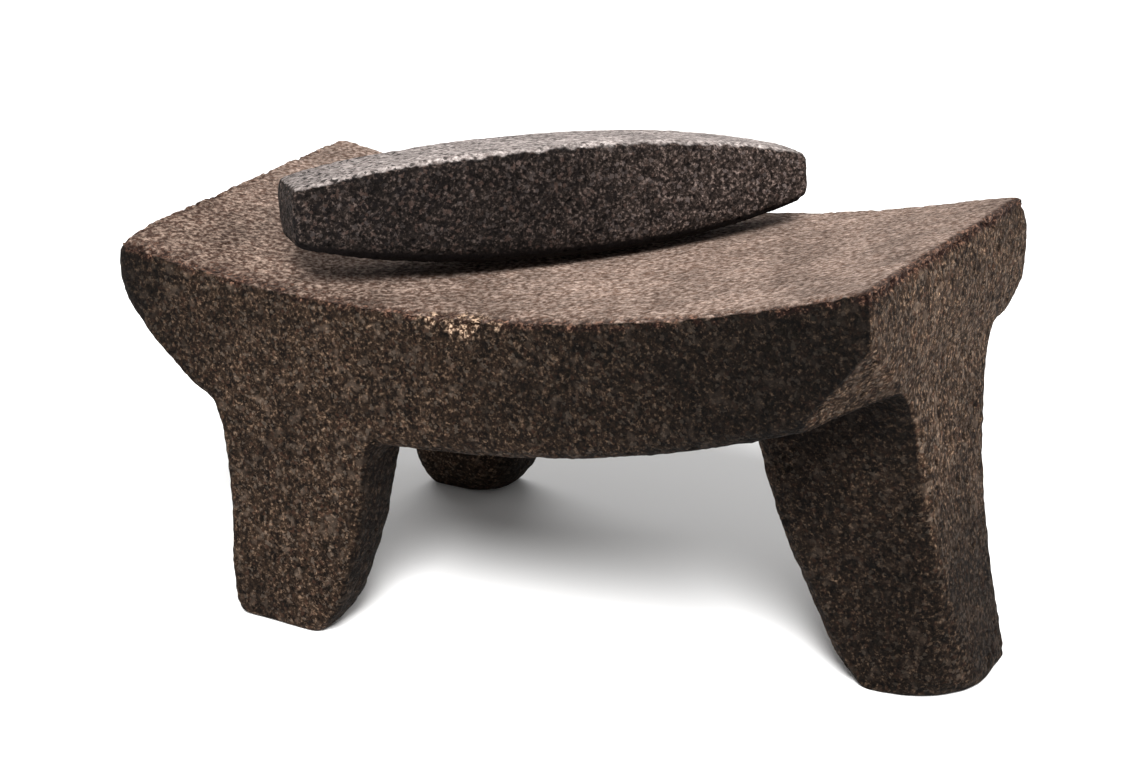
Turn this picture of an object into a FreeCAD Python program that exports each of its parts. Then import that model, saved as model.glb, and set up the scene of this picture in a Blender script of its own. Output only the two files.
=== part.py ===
import FreeCAD, Part
import os
from math import radians, sin, sqrt

# A metate: a sloping, dished grinding slab on three legs, carved from one block of
# volcanic stone, and its mano, the loose hand stone that lies diagonally on the slab.
# Millimetres. +X runs along the slab towards its high end, which has the single leg.
# +Y runs across the slab. +Z is up, and the feet stand on Z = 0.

V = FreeCAD.Vector

# Slab. Each long face has its own outline, because the hand-carved top is slightly twisted.
# An arc is given as the x of its lowest point, the height there and the radius.
HALF_WIDTH = 112.8
HIGH_END_X = 210.0
NEAR_LOW_END_X = -208.2
FAR_LOW_END_X = -220.0
HIGH_END_BULGE = 3.0        # how far each end face swells outward
LOW_END_BULGE = 4.6
NEAR_DISH = (-60.7, 181.2, 825.0)
FAR_DISH = (-41.0, 186.2, 918.0)
NEAR_UNDERSIDE = (-70.0, 105.3, 675.0)
FAR_UNDERSIDE = (-70.0, 105.3, 735.0)
UNDERSIDE_END_X = -146.0    # from here the underside rises into the tapered low end
TAPER_RUN = 50.0
TAPER_RISE = 42.5
TIP_LIFT = 10.0             # the low end bulges most this far above its middle
LOW_CORNER_ROUND = 15.0
LOWER_EDGE_ROUND = 12.0
CORNER_CUT_DROP = 17.0      # each lower corner of the high end is cut off flat. The cut
CORNER_CUT_RUN = 13.0       # drops this much over this run along the long face.
NEAR_CUT = ((-HALF_WIDTH, 198.0), (-42.0, 152.0))   # y and z of the cut's line on the end
FAR_CUT = ((HALF_WIDTH, 173.0), (57.0, 141.5))      # face: at the slab's side, at the leg
BLOCK_HEIGHT = 300.0        # of the block that the slab is cut from, more than enough

# Legs
FAR_LEG_OUTSET = 12.8       # the far leg starts this much nearer the low end
FAR_LEG_SLIMMER = 4.5       # and is this much narrower along the slab
FAR_LEG_INSET = 14.5        # and its inner face is this much nearer the middle
FAR_LEG_ROUND = 22.0        # radius of its inner corner towards the high end

# Mano
MANO_HALF_LENGTH = 137.0
MANO_HALF_WIDTH = 33.0
MANO_HALF_HEIGHT = 29.9
MANO_FULLNESS = 2.3         # exponent of the taper: 2 is a parabola, more is blunter
LOW_CAP = (27.0, 18.5, 12.5)         # half width, height above and below the axis
HIGH_CAP = (24.0, 14.0, 11.5)
CAP_ROUND = 3.0
MANO_CORNERS = (0.5, 0.5, 0.27, 0.27)  # corner radii over the smaller half size: below, above
MANO_ROLL = -6.0            # degrees about its own length
MANO_TILT = 1.0             # degrees, its high cap up
MANO_TURN = 46.0            # degrees from +X, seen from above
MANO_PLACE = V(-9.3, -0.4, 217.05)
MANO_STATIONS = (-1.0, -0.87, -0.7, -0.45, 0.0, 0.45, 0.7, 0.87, 1.0)

HALFWAY = sin(radians(45))  # how far along each axis the middle of a quarter circle is


def line(start, end):
    return Part.LineSegment(start, end).toShape()


def arc(start, middle, end):
    return Part.Arc(start, middle, end).toShape()


def arc_point(shape_of_arc, x, y):
    low_x, low_z, radius = shape_of_arc
    return V(x, y, low_z + radius - sqrt(radius ** 2 - (x - low_x) ** 2))


def long_arc(shape_of_arc, start_x, end_x, y):
    xs = (start_x, (start_x + end_x) / 2, end_x)
    return arc(*[arc_point(shape_of_arc, x, y) for x in xs])


def slab_outline(y, dish, underside, low_end_x):
    """Outline of the slab on one of its long faces."""
    top_low = arc_point(dish, low_end_x, y)
    top_high = arc_point(dish, HIGH_END_X, y)
    under_high = arc_point(underside, HIGH_END_X, y)
    under_low = arc_point(underside, UNDERSIDE_END_X, y)
    end_middle = V(HIGH_END_X + HIGH_END_BULGE, y, (top_high.z + under_high.z) / 2)
    taper_end = under_low + V(-TAPER_RUN, 0, TAPER_RISE)
    tip = V(low_end_x - LOW_END_BULGE, y, (taper_end.z + top_low.z) / 2 + TIP_LIFT)
    return Part.Wire([
        long_arc(dish, low_end_x, HIGH_END_X, y),
        arc(top_high, end_middle, under_high),
        long_arc(underside, HIGH_END_X, UNDERSIDE_END_X, y),
        line(under_low, taper_end),
        arc(taper_end, tip, top_low),
    ])


def plan_outline():
    """Outline of the slab from above: its low corners are rounded, its high end is left whole."""
    radius = LOW_CORNER_ROUND
    near = V(NEAR_LOW_END_X - LOW_END_BULGE, -HALF_WIDTH, 0)
    far = V(FAR_LOW_END_X - LOW_END_BULGE, HALF_WIDTH, 0)
    along_end = (far - near).normalize()
    inward = V(1, 0, 0)
    clear_x = HIGH_END_X + 2 * HIGH_END_BULGE
    high_near = V(clear_x, -HALF_WIDTH, 0)
    high_far = V(clear_x, HALF_WIDTH, 0)
    bend = radius * (1 - HALFWAY)
    near_bend = near + (along_end + inward) * bend
    far_bend = far + (inward - along_end) * bend
    return Part.Wire([
        line(near + inward * radius, high_near),
        line(high_near, high_far),
        line(high_far, far + inward * radius),
        arc(far + inward * radius, far_bend, far - along_end * radius),
        line(far - along_end * radius, near + along_end * radius),
        arc(near + along_end * radius, near_bend, near + inward * radius),
    ])


def middle_of(edge):
    return edge.valueAt((edge.FirstParameter + edge.LastParameter) / 2)


def lower_edge(slab, side):
    """The long lower edge of the slab on one side, which is the lowest edge there."""
    on_side = [edge for edge in slab.Edges if abs(middle_of(edge).y - side * HALF_WIDTH) < 1]
    return min(on_side, key=lambda edge: middle_of(edge).z)


def corner_cutter(at_side, at_leg):
    """Everything outside the flat cut over one lower corner of the high end."""
    start = V(HIGH_END_X, *at_side)
    along_end = V(HIGH_END_X, *at_leg) - start
    along_side = V(-CORNER_CUT_RUN, 0, -CORNER_CUT_DROP)
    outward = along_end.cross(along_side)
    if outward.x < 0:
        outward = -outward
    cutter = Part.makeBox(BLOCK_HEIGHT, BLOCK_HEIGHT, BLOCK_HEIGHT)
    cutter.translate(V(-BLOCK_HEIGHT / 2, -BLOCK_HEIGHT / 2, 0))
    turn = FreeCAD.Rotation(V(0, 0, 1), outward)
    return cutter.transformed(FreeCAD.Placement(start, turn).toMatrix())


def make_slab():
    near = slab_outline(-HALF_WIDTH, NEAR_DISH, NEAR_UNDERSIDE, NEAR_LOW_END_X)
    far = slab_outline(HALF_WIDTH, FAR_DISH, FAR_UNDERSIDE, FAR_LOW_END_X)
    slab = Part.makeLoft([near, far], True, True)
    plan = Part.Face(plan_outline()).extrude(V(0, 0, BLOCK_HEIGHT))
    slab = slab.common(plan).Solids[0]
    for side in (-1, 1):
        slab = slab.makeFillet(LOWER_EDGE_ROUND, [lower_edge(slab, side)])
    for cut in (NEAR_CUT, FAR_CUT):
        slab = slab.cut(corner_cutter(*cut))
    return slab.Solids[0]


def upright_section(z, x_low, x_high, y_low, y_high, radii):
    """Level rounded rectangle. Radii run round from the corner at x_low, y_low."""
    corners = [(x_low, y_low), (x_high, y_low), (x_high, y_high), (x_low, y_high)]
    starts = []
    ends = []
    middles = []
    for index, (x, y) in enumerate(corners):
        radius = radii[index]
        inward = V(1 if x == x_low else -1, 1 if y == y_low else -1, 0)
        centre = V(x + inward.x * radius, y + inward.y * radius, z)
        along_x = V(centre.x, y, z)
        along_y = V(x, centre.y, z)
        arrives_along_x = index in (1, 3)
        starts.append(along_x if arrives_along_x else along_y)
        ends.append(along_y if arrives_along_x else along_x)
        middles.append(centre - inward * (radius * HALFWAY))
    edges = []
    for index in range(4):
        following = (index + 1) % 4
        edges.append(arc(starts[index], middles[index], ends[index]))
        edges.append(line(ends[index], starts[following]))
    return Part.Wire(edges)


def make_leg(levels):
    sections = [upright_section(*level) for level in levels]
    return Part.makeLoft(sections, True, False)


def near_leg_levels():
    """Level, x from and to, y from and to, corner radii, from the foot up.
    The top levels stay just inside the slab's face, so that leg and slab join cleanly."""
    tight = (5, 5, 9, 9)
    return [
        (0, -130, -81, -118.4, -100, (5, 5, 6, 6)),
        (3, -134, -76.5, -120.2, -97, tight),
        (9, -136, -71, -120.4, -92.5, tight),
        (30, -138.5, -62, -118.5, -86, tight),
        (60, -139.5, -55, -115.5, -80, tight),
        (85, -142, -52, -113.8, -76, tight),
        (100, -145, -50.5, -113.3, -70, tight),
        (110, -148, -47, -113, -64, tight),
        (124, -156, -38, -112.5, -50, tight),
        (142, -160, -30, -112.0, -44, tight),
    ]


def far_leg_levels():
    """The near leg's levels, mirrored across the slab and made a little slimmer."""
    mirrored = []
    for z, x_low, x_high, y_low, y_high, (a, b, _, d) in near_leg_levels():
        from_x = x_low - FAR_LEG_OUTSET
        to_x = x_high - FAR_LEG_OUTSET - FAR_LEG_SLIMMER
        radii = (d, FAR_LEG_ROUND, b, a)
        mirrored.append((z, from_x, to_x, -y_high - FAR_LEG_INSET, -y_low, radii))
    return mirrored


def high_leg_levels():
    """The single leg under the high end. Its outer face splays outward as it goes down."""
    return [
        (0, 184, 238.5, -38, 32, (10, 43, 4, 10)),
        (3, 179, 240.3, -38.4, 33, (12, 40, 4, 14)),
        (9, 171.5, 239.5, -38.2, 33.5, (14, 33, 4, 18)),
        (22, 162.5, 236.2, -37.2, 34, (15, 24, 4, 22)),
        (45, 151, 230.4, -37, 35.5, (15, 14, 4, 22)),
        (75, 137.5, 224.4, -39.5, 38, (15, 9, 4, 22)),
        (105, 128, 218.6, -41, 43.5, (15, 8, 4, 22)),
        (125, 121.5, 215, -42, 52, (15, 8, 4, 22)),
        (145, 107, 212, -46, 62, (15, 6, 4, 22)),
        (165, 86, 210.2, -64, 85, (15, 4, 4, 22)),
        (185, 80, 208.5, -88, 94, (15, 4, 4, 22)),
    ]


def mano_section(x, half_width, above, below):
    """Rounded section across the mano at x, in its own frame."""
    smaller = min(half_width, (above + below) / 2)
    radii = [share * smaller for share in MANO_CORNERS]
    section = upright_section(0, -half_width, half_width, -below, above, radii)
    section.rotate(V(0, 0, 0), V(1, 0, 0), 90)
    section.rotate(V(0, 0, 0), V(0, 0, 1), 90)
    section.translate(V(x, 0, 0))
    return section


def mano_sizes(along):
    """Half width, height above and height below the axis, at -1 to 1 along it."""
    cap = LOW_CAP if along < 0 else HIGH_CAP
    middle = (MANO_HALF_WIDTH, MANO_HALF_HEIGHT, MANO_HALF_HEIGHT)
    fade = 1 - abs(along) ** MANO_FULLNESS
    return [end + (full - end) * fade for end, full in zip(cap, middle)]


def make_mano():
    sections = []
    for along in MANO_STATIONS:
        sections.append(mano_section(along * MANO_HALF_LENGTH, *mano_sizes(along)))
    mano = Part.makeLoft(sections, True, False)
    caps = [edge for edge in mano.Edges if abs(abs(middle_of(edge).x) - MANO_HALF_LENGTH) < 0.1]
    mano = mano.makeFillet(CAP_ROUND, caps).Solids[0]
    mano.rotate(V(0, 0, 0), V(1, 0, 0), MANO_ROLL)
    mano.rotate(V(0, 0, 0), V(0, 1, 0), -MANO_TILT)
    mano.rotate(V(0, 0, 0), V(0, 0, 1), MANO_TURN)
    mano.translate(MANO_PLACE)
    return mano


def make_metate():
    body = make_slab()
    for levels in (near_leg_levels(), far_leg_levels(), high_leg_levels()):
        body = body.fuse(make_leg(levels))
    return body.removeSplitter().Solids[0]


def main():
    os.makedirs("parts", exist_ok=True)
    shapes = {"metate": make_metate(), "mano": make_mano()}
    print("gap under the mano", round(shapes["metate"].distToShape(shapes["mano"])[0], 2))
    whole = Part.Compound(list(shapes.values())).optimalBoundingBox(False)
    to_origin = V(-whole.Center.x, -whole.Center.y, -whole.ZMin)
    print("moved by", to_origin)
    for name, shape in shapes.items():
        shape.translate(to_origin)
        box = shape.optimalBoundingBox(False)
        print(name, shape.isValid(), round(shape.Volume), len(shape.Faces), box)
        shape.exportStep("parts/" + name + ".step")


main()
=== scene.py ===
import math
from itertools import product

import bmesh
import bpy
import numpy as np
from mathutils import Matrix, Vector


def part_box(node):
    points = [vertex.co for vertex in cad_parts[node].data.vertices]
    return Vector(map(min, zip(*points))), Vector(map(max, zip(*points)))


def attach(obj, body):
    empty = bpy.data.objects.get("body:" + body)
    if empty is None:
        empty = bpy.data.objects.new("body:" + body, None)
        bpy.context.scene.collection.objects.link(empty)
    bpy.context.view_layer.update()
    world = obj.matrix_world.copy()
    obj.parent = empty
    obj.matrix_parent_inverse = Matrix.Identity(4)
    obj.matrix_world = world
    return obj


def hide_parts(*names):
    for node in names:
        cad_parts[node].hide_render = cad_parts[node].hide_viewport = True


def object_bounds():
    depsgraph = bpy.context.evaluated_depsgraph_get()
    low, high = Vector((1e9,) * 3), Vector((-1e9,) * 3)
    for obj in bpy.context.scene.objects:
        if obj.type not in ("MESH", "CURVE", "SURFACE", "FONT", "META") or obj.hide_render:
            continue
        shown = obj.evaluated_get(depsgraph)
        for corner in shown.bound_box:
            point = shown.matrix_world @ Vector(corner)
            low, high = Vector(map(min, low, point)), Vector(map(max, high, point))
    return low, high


# A metate, which is a sloping, dished grinding slab on three legs, and its mano, the hand
# stone that lies on it. Both are vesicular volcanic stone, carved by hand and worn by use.
# Metres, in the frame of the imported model.

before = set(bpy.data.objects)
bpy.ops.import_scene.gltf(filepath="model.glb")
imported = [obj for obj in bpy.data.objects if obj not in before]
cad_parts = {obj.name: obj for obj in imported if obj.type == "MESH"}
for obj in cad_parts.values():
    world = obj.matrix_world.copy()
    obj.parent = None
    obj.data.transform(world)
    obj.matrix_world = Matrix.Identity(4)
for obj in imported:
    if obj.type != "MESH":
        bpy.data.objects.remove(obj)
cad_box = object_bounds()

METATE_GRID = 0.00125       # spacing of the mesh over each stone
MANO_GRID = 0.0009
CRISP_ROUNDS = 4            # of smoothing: enough to take away the steps of the grid
METATE_SOFT_ROUNDS = 18     # enough to round every edge a little
MANO_SOFT_ROUNDS = 16
BLUNT_ROUNDS = 100          # enough to turn every edge into a broad curve

FOOT_PAST_FACE = 0.0077     # how far the near foot stands out past the slab's near face
FOOT_PAST_END = 0.030       # and the high foot past the slab's high end
TOP_ABOVE = (0.165, 0.175)  # the dished top lies above these heights everywhere
CHIP_X = -0.0045            # middle of the fresh chip on the near top edge
CHIP_Z = 0.1835
CHIP_REACH = (0.035, 0.017, 0.0155)
MANO_TURN = math.radians(46)    # how far the mano is turned from the slab's length

BUMP_DEPTH = 0.0011         # of the grit in the materials, which is finer than the meshes
SPECULAR = 0.08             # dull, because neither stone nor floor mirrors the lights


# --- Random fields over points in space -------------------------------------------------------

CELL_PRIMES = (73856093, 19349663, 83492791)    # one for each axis
HASH_FACTORS = (0x7FEB352D, 0x846CA68B)
SEED_SHIFT = 0.37           # keeps the cells of two seeds from lying on each other


def random_of(cells, seed):
    """One random value from 0 to 1 for each whole-number cell."""
    mixed = np.full(len(cells), seed * 7919 + 17, np.uint32)
    for axis, prime in enumerate(CELL_PRIMES):
        mixed ^= cells[:, axis].astype(np.uint32) * np.uint32(prime)
    for factor in HASH_FACTORS:
        mixed ^= mixed >> np.uint32(16)
        mixed *= np.uint32(factor)
    mixed ^= mixed >> np.uint32(15)
    return mixed / 2.0 ** 32


def eased(share):
    """A share from 0 to 1 that starts and ends level."""
    return share * share * (3 - 2 * share)


def rise(values, low, high):
    """0 below low, 1 above high, smooth between."""
    return eased(np.clip((values - low) / (high - low), 0, 1))


def wave(points, size, seed):
    """Smooth random values from -1 to 1 that change over about size metres."""
    scaled = points / size + seed * SEED_SHIFT
    base = np.floor(scaled).astype(np.int64)
    share = eased(scaled - base)
    total = np.zeros(len(points))
    for corner in product((0, 1), repeat=3):
        weight = np.prod(np.where(corner, share, 1 - share), axis=1)
        total += weight * random_of(base + np.array(corner), seed)
    return 2 * total - 1


def rough_wave(points, size, seed, octaves=3):
    """Waves of halving size and strength, added up."""
    parts = [wave(points, size / 2 ** k, seed + 31 * k) / 2 ** k for k in range(octaves)]
    return sum(parts)


def unevenness(points, size, seed, octaves=3):
    """Rough waves as a depth, mostly from 0 to 1."""
    return 0.5 + 0.5 * rough_wave(points, size, seed, octaves)


def scattered(points, size, seed):
    """Distance to the nearest of points scattered about size metres apart, and its tag, a
    random value from 0 to 1."""
    scaled = points / size
    base = np.floor(scaled).astype(np.int64)
    nearest = np.full(len(points), np.inf)
    tag = np.zeros(len(points))
    for corner in product((-1, 0, 1), repeat=3):
        cell = base + np.array(corner)
        place = cell + np.stack([random_of(cell, seed + k) for k in (1, 2, 3)], axis=1)
        distance = np.linalg.norm(scaled - place, axis=1)
        closer = distance < nearest
        nearest = np.where(closer, distance, nearest)
        tag = np.where(closer, random_of(cell, seed + 4), tag)
    return nearest * size, tag


def pits(points, spacing, smallest, largest, seed, share):
    """Depth, from 0 to 1, of round pits. This share of the scattered places has one, and most
    of them are nearer the smallest radius than the largest."""
    distance, tag = scattered(points, spacing, seed)
    chosen = tag < share
    radius = smallest + (largest - smallest) * (tag / share) ** 2
    return np.where(chosen, 1 - rise(distance, radius * 0.45, radius), 0)


# --- Meshes -----------------------------------------------------------------------------------

def gridded(node, name, spacing):
    """A copy of a CAD node's surface as a closed, even mesh."""
    bm = bmesh.new()
    bm.from_mesh(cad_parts[node].data)
    bmesh.ops.remove_doubles(bm, verts=bm.verts, dist=1e-6)
    source = bpy.data.meshes.new(name + "_source")
    bm.to_mesh(source)
    bm.free()
    piece = bpy.data.objects.new(name, source)
    bpy.context.scene.collection.objects.link(piece)
    remesh = piece.modifiers.new("grid", "REMESH")
    remesh.mode = "VOXEL"
    remesh.voxel_size = spacing
    graph = bpy.context.evaluated_depsgraph_get()
    mesh = bpy.data.meshes.new_from_object(piece.evaluated_get(graph))
    piece.modifiers.clear()
    piece.data = mesh
    mesh.shade_smooth()
    return piece


def points_of(mesh):
    flat = np.empty(len(mesh.vertices) * 3)
    mesh.vertices.foreach_get("co", flat)
    return flat.reshape(-1, 3)


def edges_of(mesh):
    flat = np.empty(len(mesh.edges) * 2, np.int32)
    mesh.edges.foreach_get("vertices", flat)
    return flat.reshape(-1, 2)


def set_points(mesh, points):
    mesh.vertices.foreach_set("co", points.astype(np.float32).ravel())
    mesh.update()


def normals_at(mesh, points):
    """Outward directions of the surface when its vertices are at these points."""
    set_points(mesh, points)
    flat = np.empty(len(points) * 3, np.float32)
    mesh.vertex_normals.foreach_get("vector", flat)
    return flat.reshape(-1, 3).astype(float)


def smoothed(points, edges, rounds):
    """Points drawn towards the mean of their neighbours, again and again."""
    a, b = edges[:, 0], edges[:, 1]
    count = len(points)
    neighbours = (np.bincount(a, minlength=count) + np.bincount(b, minlength=count))[:, None]
    for _ in range(rounds):
        total = np.empty_like(points)
        for axis in range(points.shape[1]):
            total[:, axis] = np.bincount(a, points[b, axis], count)
            total[:, axis] += np.bincount(b, points[a, axis], count)
        points = points + 0.5 * (total / neighbours - points)
    return points


def near(points, place, reach):
    """1 at a place, fading to 0 at reach from it. Reach may differ along each axis."""
    away = (points - np.array(place)) / np.array(reach)
    return 1 - rise(np.linalg.norm(away, axis=1), 0, 1)


class Stone:
    """A stone's piece with three ever softer forms of its surface, which its wear blends."""

    def __init__(self, node, name, spacing, soft_rounds):
        self.piece = gridded(node, name, spacing)
        self.mesh = self.piece.data
        self.edges = edges_of(self.mesh)
        self.crisp = smoothed(points_of(self.mesh), self.edges, CRISP_ROUNDS)
        self.soft = smoothed(self.crisp, self.edges, soft_rounds)
        self.blunt = smoothed(self.soft, self.edges, BLUNT_ROUNDS)
        self.outward = normals_at(self.mesh, self.soft)
        # How far blunting moves each point outward. It is below 0 on an outer edge.
        self.bend = np.sum((self.blunt - self.crisp) * self.outward, axis=1)

    def facing(self, axis, rounds):
        """How far the surface about each point faces along an axis, from -1 to 1."""
        return smoothed(self.outward[:, axis:axis + 1], self.edges, rounds)[:, 0]

    def keep(self, name, values):
        """Values at the vertices that the material reads by name."""
        layer = self.mesh.attributes.new(name, "FLOAT", "POINT")
        layer.data.foreach_set("value", values.astype(np.float32))


# --- The metate -------------------------------------------------------------------------------

def worn_metate(stone, rim, low_x, face_y):
    """The points, with every outer edge rounded a little, more in some places. The near corner
    of the low end, at the top and at the nose, and the far top corner of the high end are worn
    down furthest, and the inner corners between slab and leg are eased."""
    crisp, soft, blunt = stone.crisp, stone.soft, stone.blunt
    far_tip = crisp[np.argmax(crisp[:, 1] + crisp[:, 2])]
    corners = (
        # place, reach, strength
        ((low_x + 0.004, face_y, 0.201), 0.040, 1.7),
        ((low_x + 0.014, face_y, 0.160), 0.036, 1.1),
        (far_tip, 0.020, 0.9),
    )
    worn = [strength * near(crisp, place, reach) for place, reach, strength in corners]
    corner = np.minimum(np.max(worn, axis=0), 1)
    hollow = rise(stone.bend, 0.0002, 0.0012)
    uneven = rough_wave(crisp, 0.02, seed=3)
    wear = np.clip(0.45 + 0.6 * uneven, 0, 1) * (1 - 0.75 * rim)
    points = crisp + (soft - crisp) * np.maximum(wear, corner)[:, None]
    return points + (blunt - points) * np.maximum(0.45 * hollow, corner)[:, None]


def metate_painted_shading(stone, outward):
    """Painted light and shade on the sides at each point, as in the photo where it shows them:
    painted shade darkens the sides overall, and more at the nose, towards the high end and on the
    inner faces of the low legs; painted light makes the high leg paler, and the high end's face
    paler upwards.
    The far side and the low end are plain."""
    x, z = stone.crisp[:, 0], stone.crisp[:, 2]
    ahead = stone.facing(0, 8)
    end = rise(ahead, 0.55, 0.85) * rise(x, 0.15, 0.17)
    inner = rise(ahead, 0.35, 0.75) * (1 - rise(x, 0.0, 0.05))
    high_leg = rise(x, 0.0, 0.10) * (1 - rise(z, 0.10, 0.15))
    painted_shading = 0.58 * (1 - 0.76 * rise(x, -0.10, 0.17)) * (1 + 0.76 * high_leg)
    painted_shading *= (0.20 + 0.80 * rise(x, -0.23, -0.14)) * (0.97 + 0.03 * rise(z, 0.0, 0.15))
    painted_shading *= 1 - 0.6 * inner
    painted_shading += (0.35 + 0.77 * rise(z, 0.04, 0.15) - painted_shading) * end
    low_end, far_side = rise(-ahead, 0.5, 0.85), rise(outward[:, 1], 0.2, 0.6)
    painted_shading += (0.75 - painted_shading) * low_end
    painted_shading += (1.0 - painted_shading) * far_side
    return painted_shading


def make_metate():
    stone = Stone("metate", "metate_carved", METATE_GRID, METATE_SOFT_ROUNDS)
    low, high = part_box("metate")
    face_y = low.y + FOOT_PAST_FACE
    end_x = high.x - FOOT_PAST_END
    crisp = stone.crisp
    x, y, z = crisp.T

    # Zones, from 0 to 1: the top, the sides, the top's rim, the top's high end and far edge,
    # and its part towards the near low corner, which is less worn.
    up = stone.facing(2, 20)
    above = rise(z, *TOP_ABOVE)
    top = rise(up + 0.20 * rough_wave(crisp, 0.0045, seed=5, octaves=2), 0.50, 0.62) * above
    side = 1 - top
    rim = rise(-stone.bend, 0.0002, 0.0012) * above * rise(up, 0.08, 0.30)
    right = rise(x, end_x - 0.012, end_x)
    far = rise(y, 0.095, 0.106)
    unworn = rise(-0.6 * x - y, 0.03, 0.19) * top
    points = worn_metate(stone, rim, low.x, face_y)
    outward = normals_at(stone.mesh, points)

    # Relief, cut inward only: carved unevenness, grain, vesicles and broken edges.
    carved = unevenness(crisp, 0.045, seed=11)
    pecked = unevenness(crisp, 0.008, seed=12, octaves=2)
    grain = unevenness(crisp, 0.0034, seed=13, octaves=2)
    vesicles = pits(crisp, 0.0070, smallest=0.0008, largest=0.0024, seed=21, share=0.65)
    pores = pits(crisp, 0.0040, smallest=0.0006, largest=0.0013, seed=22, share=0.5)
    crumbling = rise(rough_wave(crisp, 0.0046, seed=31, octaves=3), -0.3, 0.8) * rim
    crumbling *= 0.75 + 0.65 * right - 0.45 * far
    brink = (1 - rise(y, face_y + 0.004, face_y + 0.014 - 0.05 * x)) * top * (1 - right)
    brink *= rise(rough_wave(crisp, 0.0045, seed=37, octaves=2), -0.45, 0.15)
    chip = near(crisp, (CHIP_X, face_y, CHIP_Z), CHIP_REACH)
    chip *= rise(rough_wave(crisp, 0.0038, seed=41), -0.4, 0.3)
    depths = (
        # relief, its depth on the sides, on the top, and more on the unworn part of the top
        (carved, 0.0010, 0.0003, 0),
        (pecked, 0.0006, 0.0002, 0),
        (grain, 0.0006, 0.0002, 0.0006),
        (vesicles, 0.0014, 0.0004, 0.0010),
        (pores, 0.0009, 0.0004, 0.0007),
    )
    cut = sum(relief * (on_side * side + on_top * top + extra * unworn)
              for relief, on_side, on_top, extra in depths)
    cut += 0.0020 * crumbling + 0.0010 * brink + 0.0022 * chip
    grounded = rise(z, 0.0, 0.004)
    points = points - outward * (cut * grounded)[:, None]
    points[:, 2] = np.maximum(points[:, 2], 0.0)
    set_points(stone.mesh, points)

    stone.keep("top", top)
    stone.keep("rim", np.clip(crumbling * 1.5 + 1.1 * rim * right + 0.9 * brink, 0, 1))
    stone.keep("chip", rise(chip, 0.10, 0.45))
    stone.keep("pore", np.maximum(vesicles, pores))
    stone.keep("unworn", unworn)
    stone.keep("painted_shading", metate_painted_shading(stone, outward))
    return stone.piece


# --- The mano ---------------------------------------------------------------------------------

def make_mano():
    stone = Stone("mano", "mano_carved", MANO_GRID, MANO_SOFT_ROUNDS)
    low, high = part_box("mano")
    crisp, soft, blunt = stone.crisp, stone.soft, stone.blunt
    x = crisp[:, 0]

    # Zones, from 0 to 1: the long edges, the top, the underside for painted shade, the two caps
    # and the far side.
    ridge = rise(-stone.bend, 0.0003, 0.0009)
    up = stone.facing(2, 10)
    top = rise(up + 0.15 * rough_wave(crisp, 0.004, seed=50, octaves=2), 0.70, 0.84)
    painted_underside_shade = rise(-up, 0.34, 0.56)
    from_middle = crisp[:, :2] - np.array((low + high) / 2)[:2]
    length = np.array((math.cos(MANO_TURN), math.sin(MANO_TURN)))
    across = np.array((-math.sin(MANO_TURN), math.cos(MANO_TURN)))
    along = np.abs(from_middle @ length)
    cap = rise(along, along.max() - 0.016, along.max() - 0.002)
    back = rise(stone.outward[:, :2] @ across, 0.2, 0.6)

    # Wear: the long edges are rounded unevenly, and the caps are rounded most.
    wear = np.clip(0.35 + 0.6 * rough_wave(crisp, 0.02, seed=53) + cap, 0, 1)
    points = crisp + (soft - crisp) * wear[:, None]
    points += (blunt - points) * (0.5 * cap * ridge)[:, None]
    outward = normals_at(stone.mesh, points)

    # Relief, cut inward only. The top is smoother.
    carved = unevenness(crisp, 0.04, seed=61)
    pecked = unevenness(crisp, 0.008, seed=62, octaves=2)
    grain = unevenness(crisp, 0.0030, seed=63, octaves=2)
    vesicles = pits(crisp, 0.0058, smallest=0.0008, largest=0.0019, seed=71, share=0.65)
    pores = pits(crisp, 0.0034, smallest=0.0005, largest=0.0011, seed=72, share=0.6)
    crumbling = ridge * rise(rough_wave(crisp, 0.0036, seed=64, octaves=2), -0.1, 0.7)
    cut = 0.0006 * carved + 0.0004 * pecked + 0.0006 * crumbling
    cut += (1 - 0.55 * top) * (0.0005 * grain + 0.0014 * vesicles + 0.0009 * pores)
    set_points(stone.mesh, points - outward * cut[:, None])

    stone.keep("top", top)
    stone.keep("pore", np.maximum(vesicles, pores))
    stone.keep("painted_underside_shade", painted_underside_shade)
    # Painted light and shade on the near side: palest at its ends, darkest in the middle. The far
    # side is plain.
    painted_shading = 0.30 + 0.62 * rise(x, -0.02, 0.085) + 0.26 * (1 - rise(x, -0.13, -0.07))
    stone.keep("painted_shading", painted_shading + (0.9 - painted_shading) * back)
    return stone.piece


# --- Materials --------------------------------------------------------------------------------

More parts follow.
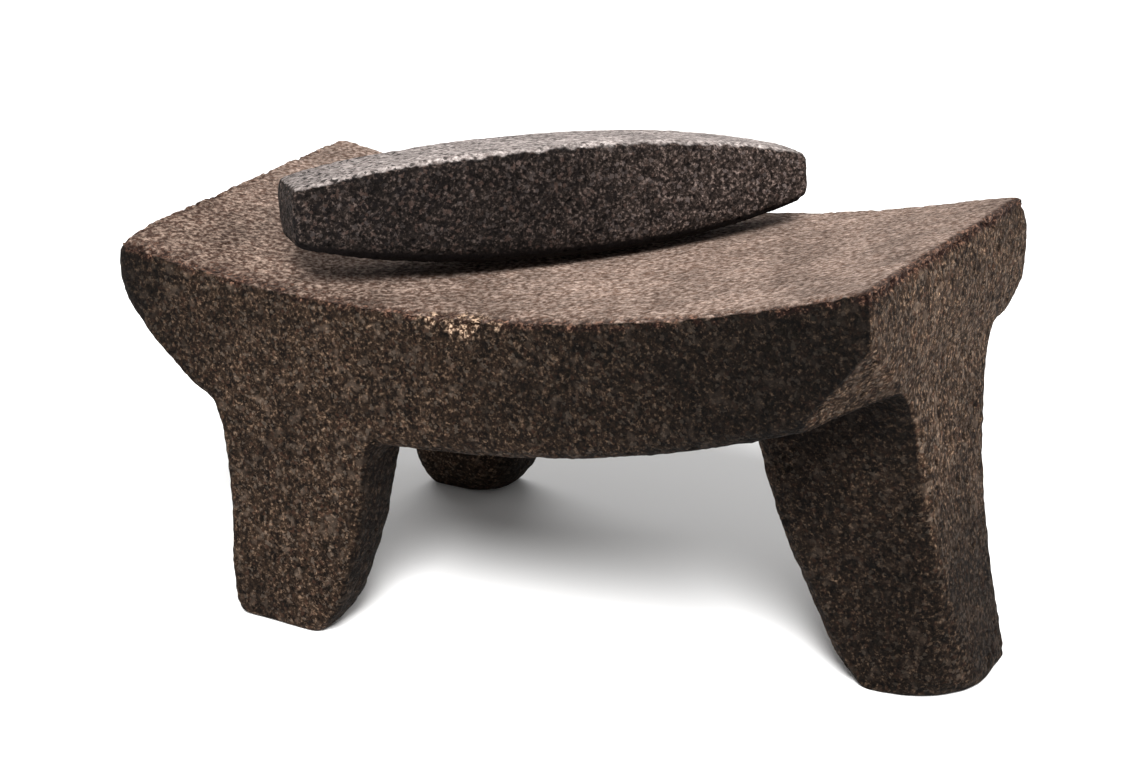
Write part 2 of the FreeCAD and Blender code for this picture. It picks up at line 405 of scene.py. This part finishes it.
class Shader:
    """A material's nodes, made one at a time."""

    def __init__(self, name):
        self.material = bpy.data.materials.new(name)
        self.material.use_nodes = True
        self.tree = self.material.node_tree
        self.tree.nodes.clear()
        self.place = self.add("ShaderNodeTexCoord").outputs["Object"]

    def add(self, kind, inputs=None, **settings):
        """A node with its settings, and its inputs set to values or linked to outputs."""
        made = self.tree.nodes.new(kind)
        for name, value in settings.items():
            setattr(made, name, value)
        for socket, value in (inputs or {}).items():
            if isinstance(value, bpy.types.NodeSocket):
                self.tree.links.new(value, made.inputs[socket])
            else:
                made.inputs[socket].default_value = value
        return made

    def noise(self, size, detail, roughness):
        """Random values from 0 to 1, mostly near 0.5, that change over about size metres."""
        inputs = {"Vector": self.place, "Scale": 1 / size, "Detail": detail,
                  "Roughness": roughness}
        return self.add("ShaderNodeTexNoise", inputs).outputs["Fac"]

    def grains(self, size):
        """Two random values for each grain of about this size. A noise pushes the places of
        the grains about, so that their borders aren't straight."""
        push = self.add("ShaderNodeTexNoise", {"Vector": self.place, "Scale": 1.3 / size})
        centred = self.vector("SUBTRACT", push.outputs["Color"], {1: (0.5, 0.5, 0.5)})
        place = self.vector("ADD", self.vector("SCALE", centred, {3: 1.4 * size}), {1: self.place})
        made = self.add("ShaderNodeTexVoronoi", {"Vector": place, "Scale": 1 / size})
        channels = self.add("ShaderNodeSeparateColor", {0: made.outputs["Color"]})
        return channels.outputs[0], channels.outputs[1]

    def vector(self, operation, value, inputs):
        made = self.add("ShaderNodeVectorMath", {0: value, **inputs}, operation=operation)
        return made.outputs[0]

    def kept(self, name):
        """Values that a stone's mesh keeps at its vertices."""
        return self.add("ShaderNodeAttribute", attribute_name=name).outputs["Fac"]

    def ramp(self, value, low, high, to_low=0.0, to_high=1.0):
        """One value below low and another above high, smooth between."""
        inputs = {"Value": value, "From Min": low, "From Max": high, "To Min": to_low,
                  "To Max": to_high}
        made = self.add("ShaderNodeMapRange", inputs, interpolation_type="SMOOTHSTEP")
        return made.outputs["Result"]

    def maths(self, operation, a, b):
        return self.add("ShaderNodeMath", {0: a, 1: b}, operation=operation).outputs[0]

    def scaled(self, value, factor):
        return self.maths("MULTIPLY", value, factor)

    def along(self, axis):
        """How far along one axis of the object each point lies."""
        return self.add("ShaderNodeSeparateXYZ", {0: self.place}).outputs[axis]

    def mix(self, share, a, b, blend="MIX"):
        a, b = [c if isinstance(c, bpy.types.NodeSocket) else (*c, 1) for c in (a, b)]
        inputs = {"Factor": share, 6: a, 7: b}
        return self.add("ShaderNodeMix", inputs, data_type="RGBA", blend_type=blend).outputs[2]

    def shaded(self, colour, value):
        """The colour times a value."""
        grey = self.add("ShaderNodeCombineColor", {0: value, 1: value, 2: value}).outputs[0]
        return self.mix(1.0, colour, grey, "MULTIPLY")

    def finish(self, colour, roughness, height, depth):
        """The material, with a bump this deep where height goes from 0 to 1."""
        bump = self.add("ShaderNodeBump", {"Height": height, "Strength": 1.0, "Distance": depth})
        inputs = {"Base Color": colour, "Roughness": roughness, "Normal": bump.outputs[0],
                  "Specular IOR Level": SPECULAR}
        surface = self.add("ShaderNodeBsdfPrincipled", inputs)
        self.add("ShaderNodeOutputMaterial", {"Surface": surface.outputs[0]})
        return self.material

    def finish_stone(self, colour, grain, grit):
        """Rough all over, with larger grains that stand out and shine a little more."""
        height = self.maths("ADD", self.scaled(grain, 0.25), grit)
        return self.finish(colour, self.ramp(grain, 0, 1, 0.95, 0.8), height, BUMP_DEPTH)


def metate_stone():
    s = Shader("metate_stone")
    top, rim, chip, pore = (s.kept(name) for name in ("top", "rim", "chip", "pore"))
    unworn, painted_shading = s.kept("unworn"), s.kept("painted_shading")
    grain, tint = s.grains(0.0017)
    grit = s.noise(0.0021, 3.0, 0.75)
    flecks = s.noise(0.0027, 3.0, 0.65)
    clouds = s.noise(0.007, 4.0, 0.7)
    blotches = s.noise(0.035, 5.0, 0.6)

    dark, brown = (0.008, 0.0044, 0.0027), (0.037, 0.0215, 0.0130)
    pale_grit, pale_grain = (0.34, 0.222, 0.146), (0.13, 0.10, 0.077)
    pale_clast, red_grain = (0.155, 0.112, 0.084), (0.085, 0.040, 0.025)
    worn_dark, worn_pale = (0.112, 0.069, 0.050), (0.355, 0.268, 0.222)
    dull_dark, dull_pale = (0.031, 0.014, 0.009), (0.245, 0.175, 0.135)
    broken_dark, broken_pale = (0.012, 0.005, 0.004), (0.25, 0.130, 0.086)
    fresh_dark, fresh_pale = (0.034, 0.018, 0.011), (0.56, 0.39, 0.27)
    black = (0.004, 0.003, 0.002)

    # Sides: dark stone with pale grit, pale grains and a few larger pale clasts.
    side = s.mix(s.ramp(clouds, 0.3, 0.7), dark, brown)
    side = s.mix(s.ramp(grit, 0.51, 0.80), side, pale_grit)
    side = s.shaded(side, s.ramp(grit, 0.32, 0.49, 0.12, 1.0))
    side = s.mix(s.scaled(s.ramp(grain, 0.86, 0.96), 0.42), side, pale_grain)
    clasts = s.scaled(s.ramp(s.noise(0.0065, 1.0, 0.4), 0.58, 0.70), 0.30)
    side = s.mix(clasts, side, pale_clast)

    # Top: flecked and pale, duller where it is unworn.
    worn = s.mix(s.ramp(flecks, 0.36, 0.66), worn_dark, worn_pale)
    dull = s.mix(s.ramp(flecks, 0.42, 0.66), dull_dark, dull_pale)
    worn = s.shaded(worn, s.ramp(s.along("X"), -0.20, -0.08, 0.80, 1.0))
    worn = s.shaded(worn, s.ramp(s.along("X"), 0.06, 0.16, 1.04, 0.90))
    worn = s.mix(s.scaled(unworn, 0.8), worn, dull)
    worn = s.shaded(worn, s.ramp(grit, 0.3, 0.7, 0.72, 1.24))

    colour = s.mix(top, side, worn)
    colour = s.shaded(colour, s.ramp(grain, 0.0, 1.0, 0.8, 1.2))
    colour = s.mix(s.scaled(s.ramp(tint, 0.88, 0.96), 0.35), colour, red_grain)
    # Painted light and shade on the sides only; the top keeps its colour.
    colour = s.mix(top, s.shaded(colour, painted_shading), colour)

    # Broken edges, the fresh chip and the pores.
    broken = s.mix(s.ramp(grit, 0.48, 0.74), broken_dark, broken_pale)
    colour = s.mix(s.scaled(rim, 0.85), colour, broken)
    fresh = s.mix(s.ramp(grit, 0.46, 0.62), fresh_dark, fresh_pale)
    colour = s.mix(chip, colour, fresh)
    colour = s.shaded(colour, s.ramp(blotches, 0.3, 0.7, 0.74, 1.26))
    pore = s.maths("MAXIMUM", pore, s.scaled(s.ramp(tint, 0.03, 0.07, 1.0, 0.0), 0.8))
    colour = s.mix(s.scaled(pore, s.ramp(top, 0.0, 1.0, 0.85, 0.45)), colour, black)
    return s.finish_stone(colour, grain, grit)


def mano_stone():
    s = Shader("mano_stone")
    top, pore, painted_underside_shade, painted_shading = (s.kept(name) for name in ("top", "pore", "painted_underside_shade", "painted_shading"))
    grain, tint = s.grains(0.0018)
    grit = s.noise(0.0019, 3.0, 0.75)
    flecks = s.noise(0.0026, 3.0, 0.65)
    clouds = s.noise(0.008, 4.0, 0.65)
    blotches = s.noise(0.03, 5.0, 0.6)

    dark, grey = (0.016, 0.0112, 0.0094), (0.034, 0.0243, 0.0203)
    pale_grit, pale_grain = (0.30, 0.222, 0.190), (0.15, 0.120, 0.112)
    red_grain = (0.085, 0.053, 0.043)
    worn_dark, worn_pale = (0.155, 0.129, 0.120), (0.40, 0.350, 0.328)
    black, shade = (0.004, 0.003, 0.003), (0.003, 0.002, 0.002)

    # Sides: dark stone with pale grit and grains.
    side = s.mix(s.ramp(clouds, 0.3, 0.7), dark, grey)
    side = s.mix(s.ramp(grit, 0.50, 0.76), side, pale_grit)
    side = s.shaded(side, s.ramp(grit, 0.33, 0.50, 0.18, 1.0))
    side = s.mix(s.scaled(s.ramp(grain, 0.86, 0.96), 0.4), side, pale_grain)
    # Painted light and shade along the sides.
    side = s.shaded(side, painted_shading)

    # Top: flecked and pale, darker towards the low cap.
    worn = s.mix(s.ramp(flecks, 0.34, 0.64), worn_dark, worn_pale)
    worn = s.shaded(worn, s.ramp(s.along("X"), -0.13, -0.03, 0.66, 1.0))
    worn = s.shaded(worn, s.ramp(grit, 0.3, 0.7, 0.72, 1.24))

    colour = s.mix(top, side, worn)
    colour = s.shaded(colour, s.ramp(grain, 0.0, 1.0, 0.8, 1.2))
    colour = s.mix(s.scaled(s.ramp(tint, 0.9, 0.97), 0.3), colour, red_grain)
    colour = s.shaded(colour, s.ramp(blotches, 0.3, 0.7, 0.78, 1.22))

    # Pores and black spots, more of them towards the low cap, and painted shade that makes the
    # underside nearly black.
    fewer = s.ramp(s.along("X"), -0.10, 0.0, 1.0, 0.6)
    spots = s.scaled(s.ramp(tint, 0.15, 0.20, 1.0, 0.0), fewer)
    colour = s.mix(s.scaled(s.maths("MAXIMUM", pore, spots), 0.92), colour, black)
    colour = s.mix(s.scaled(painted_underside_shade, 0.97), colour, shade)
    return s.finish_stone(colour, grain, grit)


def plain_floor():
    s = Shader("plain_floor")
    speckle = s.ramp(s.noise(0.4, 2.0, 0.5), 0.3, 0.7, 0.985, 1.0)
    colour = s.shaded((0.9, 0.895, 0.89), speckle)
    return s.finish(colour, roughness=0.8, height=speckle, depth=0.0)


# --- Scene ------------------------------------------------------------------------------------

FLOOR_HALF_SIZE = 40.0      # wide enough to reach almost to the horizon from a low angle


def add_floor():
    bm = bmesh.new()
    bmesh.ops.create_grid(bm, x_segments=1, y_segments=1, size=FLOOR_HALF_SIZE)
    mesh = bpy.data.meshes.new("floor")
    bm.to_mesh(mesh)
    bm.free()
    floor = bpy.data.objects.new("floor", mesh)
    bpy.context.scene.collection.objects.link(floor)
    mesh.materials.append(plain_floor())


def add_sun(name, place, spread, strength):
    """Even light from far away, spread over some degrees so that its shadows are soft."""
    light = bpy.data.lights.new(name, "SUN")
    light.angle = math.radians(spread)
    light.energy = strength
    lamp = bpy.data.objects.new(name, light)
    lamp.location = place
    lamp.rotation_mode = "QUATERNION"
    lamp.rotation_quaternion = (-Vector(place)).to_track_quat("-Z", "Y")
    bpy.context.scene.collection.objects.link(lamp)


def add_world(strength):
    world = bpy.data.worlds.new("studio")
    world.use_nodes = True
    background = world.node_tree.nodes["Background"]
    background.inputs["Color"].default_value = (1, 1, 1, 1)
    background.inputs["Strength"].default_value = strength
    bpy.context.scene.world = world


CAMERA_TURN = 29.196        # degrees round from the near long side towards the high end
CAMERA_HEIGHT = 19.215      # degrees above level
CAMERA_DISTANCE = 1.05725
CAMERA_ASIDE = -0.00428     # metres from dead on, sideways and up
CAMERA_ABOVE = -0.00502
CAMERA_LENS = 63.16


def add_camera():
    turn, height = math.radians(CAMERA_TURN), math.radians(CAMERA_HEIGHT)
    back = Vector((math.sin(turn) * math.cos(height), -math.cos(turn) * math.cos(height),
                   math.sin(height)))
    aside = Vector((math.cos(turn), math.sin(turn), 0))
    above = back.cross(aside)
    centre = (cad_box[0] + cad_box[1]) / 2
    data = bpy.data.cameras.new("camera")
    data.lens = CAMERA_LENS
    camera = bpy.data.objects.new("camera", data)
    camera.location = centre + back * CAMERA_DISTANCE + aside * CAMERA_ASIDE + above * CAMERA_ABOVE
    camera.rotation_mode = "QUATERNION"
    camera.rotation_quaternion = (-back).to_track_quat("-Z", "Y")
    bpy.context.scene.collection.objects.link(camera)
    bpy.context.scene.camera = camera


metate = make_metate()
mano = make_mano()
for stone_piece, stone_material in ((metate, metate_stone), (mano, mano_stone)):
    stone_piece.data.materials.clear()
    stone_piece.data.materials.append(stone_material())
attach(metate, "metate")
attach(mano, "mano")
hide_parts("metate")
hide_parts("mano")

add_floor()
add_world(strength=0.40)
add_sun("key", place=(1.0, -1.75, 2.0), spread=26, strength=6.4)
add_sun("back_fill", place=(-1.2, 1.3, 1.5), spread=60, strength=1.2)
add_camera()
bpy.context.scene.view_settings.view_transform = "Standard"
